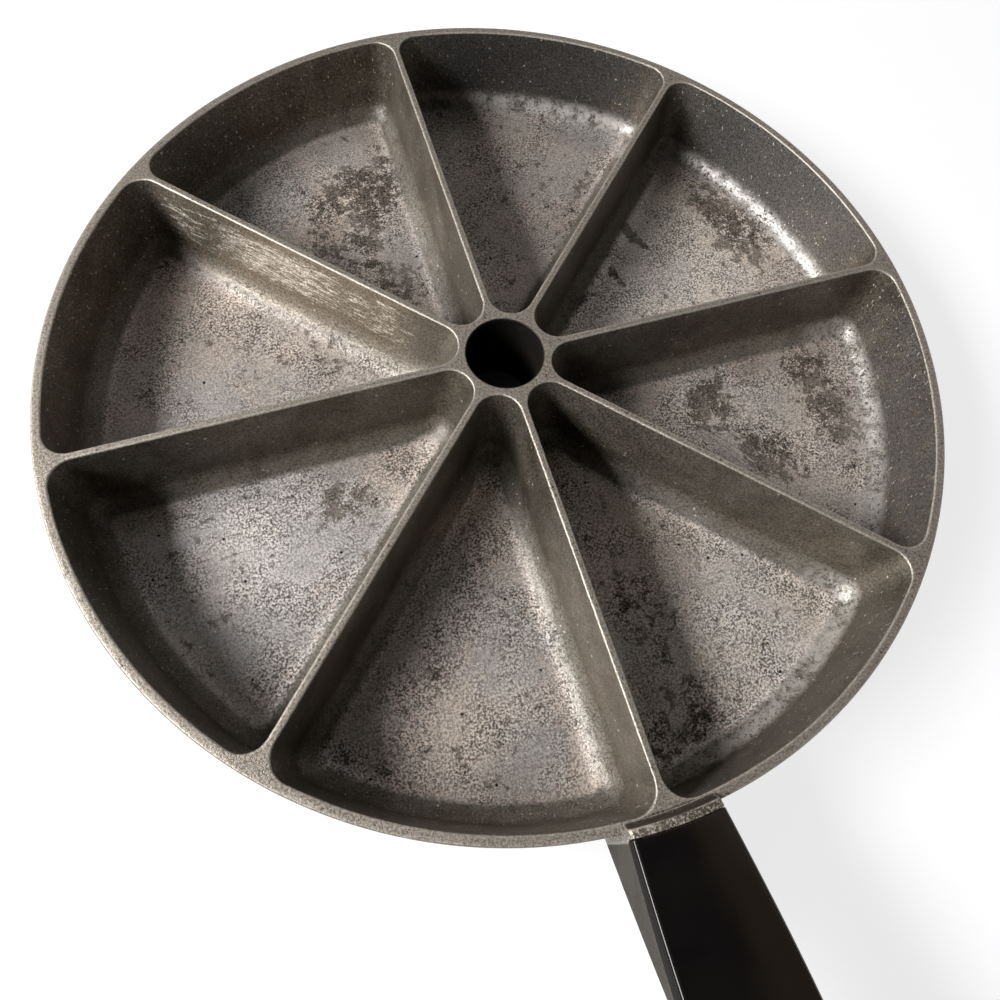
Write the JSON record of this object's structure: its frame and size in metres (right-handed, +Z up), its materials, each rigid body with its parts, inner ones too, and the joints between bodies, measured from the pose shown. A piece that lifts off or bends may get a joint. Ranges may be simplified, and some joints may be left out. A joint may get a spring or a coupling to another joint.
{
  "type": "wedge cornbread pan",
  "caption": "Round cast aluminium baking pan divided into wedge pockets round a central hole, with a rising black moulded handle.",
  "frame": {"origin": "on the surface that the pan stands on, under the middle of the whole object's box, which is a point of the pan's flat base", "axes": "+Z up, -Y along the handle from the pan towards its end, +X to the right when the handle points at the viewer"},
  "size_m": [0.25, 0.3814, 0.057],
  "materials": {
    "cast_aluminium": "satin cast aluminium, darkened by use, paler where it is worn",
    "black_phenolic": "glossy moulded phenolic",
    "plated_steel": "plated, slightly dull",
    "brass": "turned"
  },
  "bodies": {
    "root": {"pan_casting": "cast_aluminium", "handle_grip": "black_phenolic", "handle_screw_front": "plated_steel", "handle_screw_rear": "plated_steel", "lock_washer_front": "plated_steel", "lock_washer_rear": "plated_steel", "threaded_insert_front": "brass", "threaded_insert_rear": "brass"}
  },
  "joints": []
}
